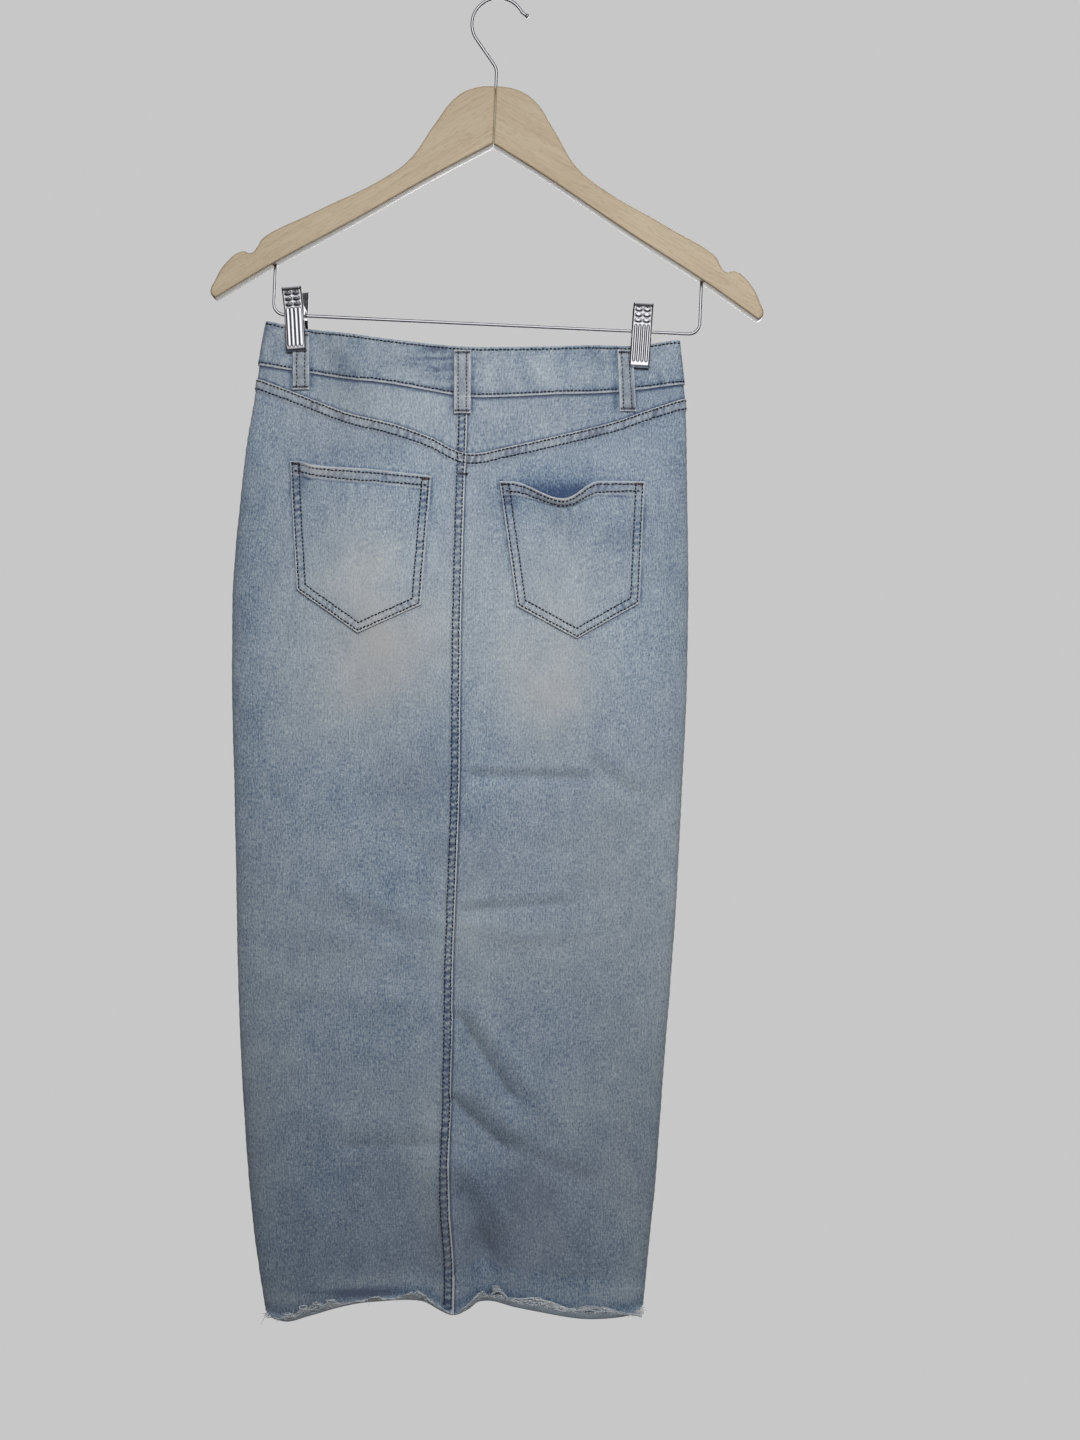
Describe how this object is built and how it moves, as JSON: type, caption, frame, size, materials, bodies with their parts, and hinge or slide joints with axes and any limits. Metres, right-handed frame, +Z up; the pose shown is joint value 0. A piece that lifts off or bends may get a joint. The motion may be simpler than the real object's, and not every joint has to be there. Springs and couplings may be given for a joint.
{
  "type": "denim skirt on a clip hanger",
  "caption": "Long denim pencil skirt with a pointed yoke, patch pockets, belt loops and a raw hem, hung by metal clips from the wire bar of a wooden hanger.",
  "frame": {"origin": "inside top of the hook's bend, where the rail bears on it", "axes": "+Z up, +X to the right as seen from the skirt's back, +Y from the skirt's back to its front"},
  "size_m": [0.4455, 0.0773, 1.0643],
  "materials": {
    "denim": "light-washed twill",
    "thread": "matt sewing thread",
    "wood": "clear satin varnish",
    "chrome": "bright plating",
    "brass": "aged brass"
  },
  "bodies": {
    "root": {"back_panel_left": "denim", "back_panel_right": "denim", "front_panel_left": "denim", "front_panel_right": "denim", "yoke_back_left": "denim", "yoke_back_right": "denim", "pocket_left": "denim", "pocket_right": "denim", "waistband_back": "denim", "waistband_front_left": "denim", "waistband_front_right": "denim", "belt_loop_back_left": "denim", "belt_loop_back_centre": "denim", "belt_loop_back_right": "denim", "belt_loop_front_left": "denim", "belt_loop_front_right": "denim", "hanger_arm_left": "wood", "hanger_arm_right": "wood", "hook": "chrome", "clip_bar": "chrome", "clip_left_back_jaw": "chrome", "clip_left_front_jaw": "chrome", "clip_left_spring": "chrome", "clip_right_back_jaw": "chrome", "clip_right_front_jaw": "chrome", "clip_right_spring": "chrome", "button": "brass"}
  },
  "joints": []
}
